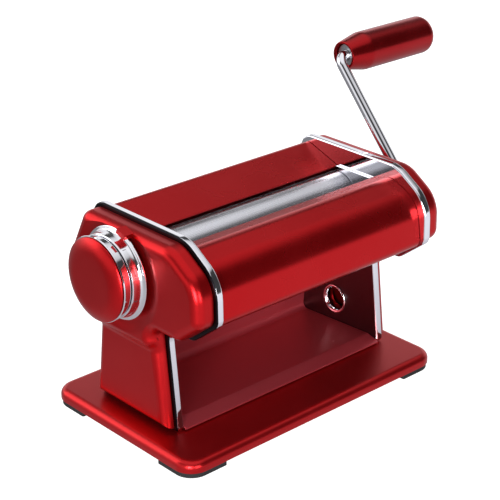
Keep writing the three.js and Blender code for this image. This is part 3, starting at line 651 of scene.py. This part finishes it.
def make_frame(side):
    """A polished side plate with its bush hole, the slot of the sliding block, and its bolt holes."""
    name = "left" if side < 0 else "right"
    x0, x1 = sorted((MID_X + side * INNER, MID_X + side * OUTER))
    corners = frame_outline()
    piece = plate("frame_plate_" + name, corners, x0, x1)
    round_corners(piece, corners)
    rounded_rim(piece, on_rim(1), 1.25, 4)
    rounded_rim(piece, on_rim(-1), 1.25, 4)
    cut_with(piece, cylinder("tool", x0 - 2, x1 + 2, 10.5, FRONT_Y, AXIS_Z))
    slot = (x0 - 2, REAR_Y - 13.1, AXIS_Z - 7.8), (x1 + 2, REAR_Y + 8.3, AXIS_Z + 7.8)
    cut_with(piece, block("tool", *slot))
    for tie in ("front", "rear_low", "rear_high"):
        spot = middle("tie_rod_" + tie)
        cut_with(piece, cylinder("tool", x0 - 2, x1 + 2, 3.3, spot.y, spot.z, 32))
    if side > 0:
        spot = middle("clamp_eyelet")
        cut_with(piece, cylinder("tool", x0 - 2, x1 + 2, 8.2, spot.y, spot.z))
    for end in ("front", "rear"):
        low, high = box(f"base_screw_{end}_{name}")
        drill_down(piece, (low + high) / 2, high.z - 15, 30)
    finished(piece, "machine", "frame_chrome", "side_frame_" + name)


def raise_head(piece, side, face):
    """Lifts the head of a casing above its leg, over a soft sloping step."""
    low, high = 60.0, 64.6
    leg_face = MID_X + side * (OUTER + CLEAR) + side * LEG_DEPTH
    edit(piece, "FACE")
    bpy.ops.mesh.select_all(action="SELECT")
    bpy.ops.mesh.bisect(plane_co=(0, 0, low * MM), plane_no=(0, 0, 1))
    pick(piece, "FACE", lambda f: f.normal.x * side > 0.9 and f.calc_center_median().z > low * MM)
    bpy.ops.mesh.extrude_region_move(TRANSFORM_OT_translate={"value": Vector((face - leg_face, 0, 0)) * MM})
    for end in (-1, 1):
        pick(piece, "VERT", lambda v: abs(v.co.x - face * MM) < 1e-5 and abs(v.co.z - low * MM) < 1e-5
             and (v.co.y / MM - REAR_Y) * end > 0)
        inwards = -end * (high - low) * 7.2 / 62.6
        bpy.ops.transform.translate(value=Vector((0, inwards, high - low)) * MM)
    bpy.ops.mesh.select_all(action="SELECT")
    bpy.ops.mesh.dissolve_limited(angle_limit=math.radians(0.3), use_dissolve_boundaries=False)
    pick(piece, "EDGE", lambda e: len(e.link_faces) == 2 and all(abs(f.normal.x) > 0.1 for f in e.link_faces)
         and abs(e.verts[0].co.z - e.verts[1].co.z) < 1e-5)
    bpy.ops.mesh.bevel(offset=2.3 * MM, segments=6, profile=0.5, affect="EDGES", clamp_overlap=False)
    close()


def make_casing(side):
    """A casing is drawn as a plate, its head raised from its leg, then hollowed."""
    name = "left" if side < 0 else "right"
    back = MID_X + side * (OUTER + CLEAR)
    face = MID_X + side * CASING_FACE
    corners = moved_in(frame_outline(low=9.4, neck=4.2, foot=0), 2.4)
    piece = plate("casing_shell_" + name, corners, back, back + side * LEG_DEPTH)
    raise_head(piece, side, face)
    round_corners(piece, corners)
    rounded_rim(piece, on_rim(side), 6.1, 9)
    if side < 0:
        press_dish(piece, face)
    else:
        cut_with(piece, cylinder("tool", back - 5, face + 5, 9, FRONT_Y, AXIS_Z))
    edit(piece, "FACE")
    pick(piece, "FACE", lambda f: f.normal.x * side < -0.9
         and abs(f.calc_center_median().x - back * MM) < 1e-5)
    bpy.ops.mesh.delete(type="FACE")
    if side > 0:
        drop_bore(piece, FRONT_Y, 9)
    close()
    run("SOLIDIFY", piece, thickness=PRESSING * MM, offset=-1.0)
    finished(piece, "machine", "casing_red", "casing_" + name)


def drop_bore(piece, y, radius):
    """Takes away the wall left inside a bored hole, so that the skin is an open sheet."""
    axis = Vector((y, AXIS_Z)) * MM
    pick(piece, "FACE", lambda f: all((v.co.yz - axis).length < (radius + 0.05) * MM for v in f.verts))
    bpy.ops.mesh.delete(type="FACE")


def press_dish(piece, face):
    """The soft round dish that the dial sits in, with the hole for the knob's bush."""
    rim, floor, depth = 35.5, 27.2, 1.5
    profile = [(face - 3, 0), (face - 3, rim)]
    for k in range(13):
        share = k / 12
        profile.append((face + depth * (3 * share ** 2 - 2 * share ** 3), rim + (floor - rim) * share))
    cut_with(piece, turned("tool", profile + [(face + depth, 0)], REAR_Y, AXIS_Z, 96))
    cut_with(piece, cylinder("tool", face - 3, face + 6, 15, REAR_Y, AXIS_Z, 96))
    edit(piece, "FACE")
    drop_bore(piece, REAR_Y, 15)
    close()


# ---------------------------------------------------------------- base, feet and sheets


def base_outline(distance, radius):
    low, high = box("base_plate")
    return [
        (low.x + distance, low.y + distance, radius),
        (high.x - distance, low.y + distance, radius),
        (high.x - distance, high.y - distance, radius),
        (low.x + distance, high.y - distance, radius),
    ]


def make_base():
    low, high = box("base_plate")
    corners = base_outline(0, 12)
    piece = plate("base_pressing", corners, low.z, high.z, "Z")
    round_corners(piece, corners, "Z")
    edit(piece, "EDGE")
    pick(piece, "EDGE", lambda e: all(abs(v.co.z - high.z * MM) < 1e-6 for v in e.verts))
    bpy.ops.mesh.bevel(offset=4.3 * MM, segments=9, profile=0.5, affect="EDGES", clamp_overlap=False)
    pick(piece, "FACE", lambda f: f.normal.z < -0.9)
    bpy.ops.mesh.delete(type="FACE")
    close()
    run("SOLIDIFY", piece, thickness=PRESSING * MM, offset=-1.0)
    for side in ("left", "right"):
        for end in ("front", "rear"):
            drill_down(piece, middle(f"base_screw_{end}_{side}"), high.z, 8)
    soften(piece, 0.3, 2, 60)
    finished(piece, "machine", "base_red", "base_plate")


def make_foot(side, end):
    """A rubber corner: an L along the edge of the base with a plug pushed up inside it."""
    name = ("front" if end < 0 else "rear") + "_" + ("left" if side < 0 else "right")
    low, high = box("base_plate")
    corner_x = low.x if side < 0 else high.x
    corner_y = low.y if end < 0 else high.y

    def at(a, b, radius=0):
        return (corner_x - side * a, corner_y - end * b, radius)

    corners = [at(0.8, 0.8, 11.2), at(28, 0.8, 1), at(28, 9, 1), at(9, 9, 3), at(9, 28, 1), at(0.8, 28, 1)]
    if side * end < 0:
        corners.reverse()
    piece = plate("rubber_foot_" + name, corners, 0, 2.7, "Z")
    round_corners(piece, corners, "Z")
    edit(piece, "FACE")
    pick(piece, "FACE", lambda f: f.normal.z > 0.9)
    bpy.ops.mesh.inset(thickness=1.3 * MM, depth=0)
    bpy.ops.mesh.extrude_region_move(TRANSFORM_OT_translate={"value": (0, 0, 3.3 * MM)})
    close()
    soften(piece, 0.4, 3, 50)
    finished(piece, "machine", "rubber", "foot_" + name)


def rear_line(z):
    """Where the bent sheets lie behind the rear slope of the frames."""
    return TAIL_Y - 3.5 - max(0, z - (HEAD_TOP - 26)) * 13.2 / 26


def make_sheets():
    x0, x1 = MID_X - INNER + CLEAR, MID_X + INNER - CLEAR
    nose = NOSE_Y + 3.2
    front = [
        (FRONT_Y + 7.6, AXIS_Z + 16.7),
        (FRONT_Y - 7.5, AXIS_Z + 21.4, 9),
        (nose + 3.8, AXIS_Z + 12.9, 20),
        (nose, HEAD_UNDER + 14.1, 5),
        (NOSE_Y + 19, HEAD_UNDER + 3.2, 5),
        (REAR_Y - 33.2, HEAD_UNDER + 3.2),
    ]
    finished(bent_sheet("front_hood", front, x0, x1), "machine", "cover_red", "front_cover")
    back_z = AXIS_Z + 26.1
    tray = [
        (REAR_Y + 3.4, AXIS_Z + 16.5),
        (rear_line(back_z), back_z, 4),
        (rear_line(back_z - 9), back_z - 9),
    ]
    finished(bent_sheet("dough_tray", tray, x0, x1), "machine", "tray_red", "feed_tray")
    top = back_z - 9.8
    rear = [
        (rear_line(top), top),
        (rear_line(HEAD_TOP - 26), HEAD_TOP - 26, 9),
        (rear_line(0), HEAD_UNDER + 11.8, 5),
        (TAIL_Y - 10.5, HEAD_UNDER + 3.2, 5),
        (REAR_Y + 28.2, HEAD_UNDER + 3.2),
    ]
    finished(bent_sheet("rear_hood", rear, x0, x1), "machine", "sheet_red", "rear_cover")
    floor = [
        (REAR_Y + 25.8, HEAD_UNDER + 1),
        (REAR_Y + 32.4, BASE_TOP + 0.4, 5),
        (REAR_Y - 26.4, BASE_TOP + 3, 3),
        (REAR_Y - 35.4, BASE_TOP + 0.6),
    ]
    finished(bent_sheet("dough_chute", floor, x0, x1), "machine", "sheet_red", "chute_panel")


# ---------------------------------------------------------------- rollers and trim


def roller_barrel():
    """The barrel between the guards, with broken ends, and the necks that pass the guards."""
    neck = INNER - CLEAR
    half = neck - GUARD - CLEAR
    edge = 0.6
    return [
        (MID_X - neck, BARREL_NECK), (MID_X - half, BARREL_NECK),
        *arc(MID_X - half + edge, ROLLER_R - edge, 180, 90, edge, 4),
        *arc(MID_X + half - edge, ROLLER_R - edge, 90, 0, edge, 4),
        (MID_X + half, BARREL_NECK), (MID_X + neck, BARREL_NECK),
    ]


def make_front_roller():
    """The driven roller, bored at its crank end."""
    low, high = box("front_roller")
    journal, tail, bore, bore_depth = 6, 8, 4.5, 21
    barrel = roller_barrel()
    profile = [
        (low.x, 0), (low.x, journal), (barrel[0][0], journal), *barrel,
        (barrel[-1][0], tail), (high.x - 0.6, tail), (high.x, tail - 0.6),
        (high.x, bore), (high.x - bore_depth, bore), (high.x - bore_depth, 0),
    ]
    piece = turned("drive_roller_barrel", profile, FRONT_Y, AXIS_Z, 96)
    finished(piece, "drive_roller", "roller_satin", "front_roller")


def make_rear_roller():
    low, high = box("rear_roller")
    journal = 5.5
    barrel = roller_barrel()
    profile = [
        (low.x, 0), (low.x, journal), (barrel[0][0], journal), *barrel,
        (barrel[-1][0], journal), (high.x - 0.5, journal), (high.x, journal - 0.5), (high.x, 0),
    ]
    piece = turned("idle_roller_barrel", profile, REAR_Y, AXIS_Z, 96)
    finished(piece, "rear_roller", "roller_satin", "rear_roller")


def make_eyelet():
    low, high = box("clamp_eyelet")
    spot = (low + high) / 2
    inner_wall = MID_X + INNER - CLEAR
    crest = low.x + 1.1
    profile = [
        (high.x, 6.9), (high.x, 7.9), (inner_wall, 7.9), (inner_wall, 9.35),
        *arc(crest + 0.6, 8.8, 90, 180, 0.6, 6),
        *[(crest + 3.4 * (1 - math.cos(a)), 8.8 - 1.9 * math.sin(a))
          for a in (math.radians(d) for d in range(15, 91, 15))],
    ]
    piece = turned("clamp_ring", profile, spot.y, spot.z, 72)
    finished(piece, "machine", "trim_chrome", "clamp_eyelet")


# ---------------------------------------------------------------- dial knob


def out(x):
    """The place that lies so far out from the face of the left casing."""
    return KNOB_FACE - x


def on_knob(name, profile):
    return turned(name, [(out(x), r) for x, r in profile], REAR_Y, AXIS_Z, 96)


def make_dial():
    """A plain barrel that flares to a lip beside the casing."""
    profile = [
        (0.8, KNOB_BORE), (0.8, 26.4), (0.95, 26.75), (1.25, 26.75), (1.5, 26.4), (1.75, 25.7),
        (2.1, 25.0), (2.6, 24.5), (3.3, 24.25), (4.6, 24.15), (7.3, 24.05), (7.75, 23.9),
        (8.0, 23.5), (8.0, KNOB_BORE),
    ]
    finished(on_knob("flared_dial", profile), "knob", "dial_chrome", "dial_ring")


def digit_on_barrel(number):
    """One digit, reading round the barrel of the dial, at its own tenth of a turn."""
    deselect()
    bpy.ops.object.text_add(location=(0, 0, 0))
    words = bpy.context.object
    words.data.body = str(number)
    words.data.size = 3.0 * MM
    words.data.extrude = 0.06 * MM
    words.data.align_x = "CENTER"
    words.data.align_y = "CENTER"
    bpy.ops.object.convert(target="MESH")
    digit = bpy.context.object
    digit.data.transform(Matrix.Rotation(math.radians(1), 4, "X"))
    digit.data.transform(Matrix(((0, 1, 0, 0), (-1, 0, 0, 0), (0, 0, 1, 0), (0, 0, 0, 1))))
    digit.data.transform(Matrix.Translation(Vector((out(5.6), 0, 24.1)) * MM))
    digit.data.transform(Matrix.Rotation(math.radians(36 * number), 4, "X"))
    digit.data.transform(Matrix.Translation(Vector((0, REAR_Y, AXIS_Z)) * MM))
    return digit


def make_numbers():
    """Ten setting numbers in dark paint round the dial, joined to one piece."""
    digits = [digit_on_barrel(number) for number in range(10)]
    deselect()
    for digit in digits:
        digit.select_set(True)
    bpy.context.view_layer.objects.active = digits[0]
    bpy.ops.object.join()
    numbers = bpy.context.object
    numbers.name = "dial_numbers"
    numbers.data.name = "dial_numbers"
    edit(numbers)
    outwards()
    close()
    numbers.data.materials.clear()
    numbers.data.materials.append(number_paint())
    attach(numbers, "knob")
    deselect()


def make_knob_trim():
    """The smooth bright band round the barrel, and the rim that the cap sits in."""
    band = [
        (8.3, KNOB_BORE), (8.3, 22.5), (8.45, 22.85), (8.75, 23.05), (9.2, 23.1),
        (12.45, 23.1), (12.7, 22.85), (12.7, KNOB_BORE),
    ]
    finished(on_knob("knob_barrel_band", band), "knob", "trim_chrome", "knob_band")
    rim = [
        (13.0, 19.2), (13.0, 23.7), (13.2, 24.25), (13.6, 24.5),
        (14.0, 24.25), (14.2, 23.7), (14.2, 19.2),
    ]
    finished(on_knob("knob_bright_rim", rim), "knob", "trim_chrome", "knob_rim")


def make_cap():
    """A pressed cap: rounded shoulder, a gently crowned centre, and a skirt inside the barrel."""
    start = 14.5
    outer = [
        (0, 18.6), (0, 23.5), (0.1, 23.75), (0.3, 23.88), (0.55, 23.75), (0.95, 23.3), (1.45, 22.6),
        (2.05, 21.6), (2.6, 20.5), (3.05, 19.4), (3.4, 18.3), (3.65, 17.2), (3.81, 16.0), (3.9, 14.8),
        (3.94, 13.0), (3.97, 8.0), (4.0, 0),
    ]
    inner = [(2.4, 0), (2.35, 10.0), (2.2, 14.0), (1.6, 17.0), (-3, 17.0), (-3, 18.6)]
    profile = [(start + x, r) for x, r in outer + inner]
    finished(on_knob("knob_cap_pressing", profile), "knob", "cap_red", "knob_cap")


def make_tab():
    """The pointer over the dial; its root is drawn in by a hair where it enters the casing."""
    piece = block("index_pointer", (out(5), -3.5, 27.5), (out(0.3), 3.5, 30.5))
    edit(piece, "FACE")
    pick(piece, "FACE", lambda f: f.normal.x > 0.9)
    bpy.ops.mesh.inset(thickness=0.01 * MM)
    pick(piece, "FACE", lambda f: f.normal.x > 0.9 and f.calc_area() > 1e-6)
    bpy.ops.mesh.extrude_region_move(TRANSFORM_OT_translate={"value": (1.5 * MM, 0, 0)})
    close()
    soften(piece, 0.6, 3, 40)
    piece.data.transform(Matrix.Rotation(math.radians(21), 4, "X"))
    piece.data.transform(Matrix.Translation(Vector((0, REAR_Y, AXIS_Z)) * MM))
    finished(piece, "machine", "casing_red", "index_tab")


# ---------------------------------------------------------------- crank


def make_crank():
    """One bar: out of the roller, up the arm over a bend, and out again into the grip."""
    low, high = box("crank_rod")
    grip = middle("crank_grip")
    stand, radius, bend, grip_bend = 9.5, 3.25, 8.5, 6.4
    arm_x = MID_X + CASING_FACE + stand
    lean = math.atan2(grip.y - FRONT_Y, grip.z - AXIS_Z)
    arm = Vector((0, math.sin(lean), math.cos(lean)))
    across = Vector((0, math.cos(lean), -math.sin(lean)))
    start = Vector((low.x, FRONT_Y, AXIS_Z))
    deselect()
    bpy.ops.mesh.primitive_circle_add(vertices=28, radius=radius * MM, location=start * MM,
                                      rotation=(0, math.pi / 2, 0), fill_type="NGON")
    piece = started("crank_bar")
    edit(piece)
    bpy.ops.mesh.select_all(action="SELECT")
    straight = arm_x - bend - start.x
    bpy.ops.mesh.extrude_region_move(TRANSFORM_OT_translate={"value": Vector((straight, 0, 0)) * MM})
    pivot = Vector((arm_x - bend, FRONT_Y, AXIS_Z)) + arm * bend
    spin_tip(pivot, across, 90)
    length = Vector((0, grip.y - FRONT_Y, grip.z - AXIS_Z)).length - bend - grip_bend
    bpy.ops.mesh.extrude_region_move(TRANSFORM_OT_translate={"value": arm * length * MM})
    pivot = Vector((arm_x + grip_bend, grip.y, grip.z)) - arm * grip_bend
    spin_tip(pivot, across, -90)
    bpy.ops.mesh.extrude_region_move(
        TRANSFORM_OT_translate={"value": Vector((high.x - arm_x - grip_bend, 0, 0)) * MM}
    )
    outwards()
    close()
    soften(piece, 0.5, 3, 60)
    finished(piece, "crank", "crank_chrome", "crank_rod")


def spin_tip(pivot, axis, degrees):
    bpy.ops.mesh.spin(steps=10, angle=math.radians(degrees), center=pivot * MM, axis=axis)


def make_grip():
    """A tapered grip with a domed end, bored for the bar and counterbored for its collar."""
    low, high = box("crank_grip")
    spot = (low + high) / 2
    start, end = low.x, high.x
    taper = [
        (0.0, 8.3), (0.15, 8.65), (0.6, 8.9), (4.0, 9.65), (9.0, 10.7), (13.6, 11.65),
        (14.6, 11.85), (15.6, 11.96), (17.0, 12.0),
    ]
    dome = [(end - 6 * (1 - math.sin(a)), 6 + 6 * math.cos(a))
            for a in (math.radians(d) for d in range(0, 91, 9))]
    profile = [
        (start + 55, 0), (start + 55, 3.6), (start + 5.4, 3.6), (start + 5.4, 7.4), (start, 7.4),
        *[(start + x, r) for x, r in taper], *dome, (end, 0),
    ]
    finished(turned("turned_grip", profile, spot.y, spot.z, 80), "grip", "grip_red", "crank_grip")


for side in (-1, 1):
    make_frame(side)
    make_casing(side)
    for end in (-1, 1):
        make_foot(side, end)
make_base()
make_sheets()
make_front_roller()
make_rear_roller()
make_eyelet()
make_dial()
make_numbers()
make_knob_trim()
make_cap()
make_tab()
make_crank()
make_grip()


# ---------------------------------------------------------------- camera, floor and light


def stand_camera():
    place = Vector((-0.5870, -0.6004, 0.4508))
    aim = Vector((-0.0337, 0.0036, 0.0856))
    data = bpy.data.cameras.new("camera")
    data.sensor_width = 36
    data.lens = 110.6
    data.clip_end = 20
    camera = bpy.data.objects.new("camera", data)
    camera.location = place
    camera.rotation_euler = (aim - place).to_track_quat("-Z", "Y").to_euler()
    bpy.context.scene.collection.objects.link(camera)
    bpy.context.scene.camera = camera


def lay_floor():
    """White paper for the camera, and the grey table that the machine mirrors and is lit by."""
    for name, depth, finish in (("floor", 0.0004, white_sweep()), ("table", 0.0012, grey_table())):
        bpy.ops.object.select_all(action="DESELECT")
        bpy.ops.mesh.primitive_plane_add(size=8, location=(0, 0, -depth))
        sheet = bpy.context.object
        sheet.name = name
        sheet.data.materials.append(finish)
        seen = name == "floor"
        sheet.visible_camera = seen
        sheet.visible_glossy = not seen
        sheet.visible_diffuse = not seen


def soft_light(name, place, aim, size, power):
    data = bpy.data.lights.new(name, "AREA")
    data.shape = "RECTANGLE"
    data.size, data.size_y = size
    data.energy = power
    light = bpy.data.objects.new(name, data)
    light.location = place
    light.rotation_euler = (Vector(aim) - Vector(place)).to_track_quat("-Z", "Y").to_euler()
    bpy.context.scene.collection.objects.link(light)


def tent_height(tree, height, stops):
    """How bright the studio tent is at each height, as a grey ramp."""
    ramp = tree.nodes.new("ShaderNodeValToRGB")
    while len(ramp.color_ramp.elements) < len(stops):
        ramp.color_ramp.elements.new(0.5)
    for stop, (place, level) in zip(ramp.color_ramp.elements, stops):
        stop.position = place
        stop.color = (level, level, level * 1.02, 1.0)
    tree.links.new(height, ramp.inputs[0])
    return ramp.outputs[0]


def light_studio():
    """A tent that is white behind, dark in front, and light overhead, with three soft lamps."""
    world = bpy.data.worlds.new("studio")
    world.use_nodes = True
    tree = world.node_tree
    place = tree.nodes.new("ShaderNodeTexCoord")
    parts = tree.nodes.new("ShaderNodeSeparateXYZ")
    tree.links.new(place.outputs["Generated"], parts.inputs[0])
    behind = tent_height(tree, parts.outputs[2], (
        (0.0, 0.9), (0.40, 1.0), (0.43, 0.95), (0.48, 0.1), (0.66, 0.05), (0.74, 0.7), (0.88, 1.0)))
    before = tent_height(tree, parts.outputs[2], (
        (0.0, 0.3), (0.04, 0.05), (0.3, 0.05), (0.5, 0.04), (0.68, 0.05), (0.74, 0.6), (0.88, 1.0)))
    side = tree.nodes.new("ShaderNodeMapRange")
    side.inputs["From Min"].default_value = -0.02
    side.inputs["From Max"].default_value = -0.3
    tree.links.new(parts.outputs[1], side.inputs["Value"])
    blend = tree.nodes.new("ShaderNodeMix")
    blend.data_type = "RGBA"
    tree.links.new(side.outputs[0], blend.inputs[0])
    tree.links.new(behind, blend.inputs[6])
    tree.links.new(before, blend.inputs[7])
    tree.links.new(blend.outputs[2], tree.nodes["Background"].inputs[0])
    bpy.context.scene.world = world
    bpy.context.scene.view_settings.view_transform = "Standard"
    soft_light("key", (-1.05, -0.75, 0.22), (0, 0, 0.07), (0.36, 0.46), 13)
    soft_light("front", (-0.35, -1.25, 0.25), (0, 0, 0.06), (0.4, 0.45), 6)
    soft_light("back left", (-0.75, 0.95, 0.75), (0, 0, 0.1), (0.9, 0.9), 5)


stand_camera()
lay_floor()
light_studio()
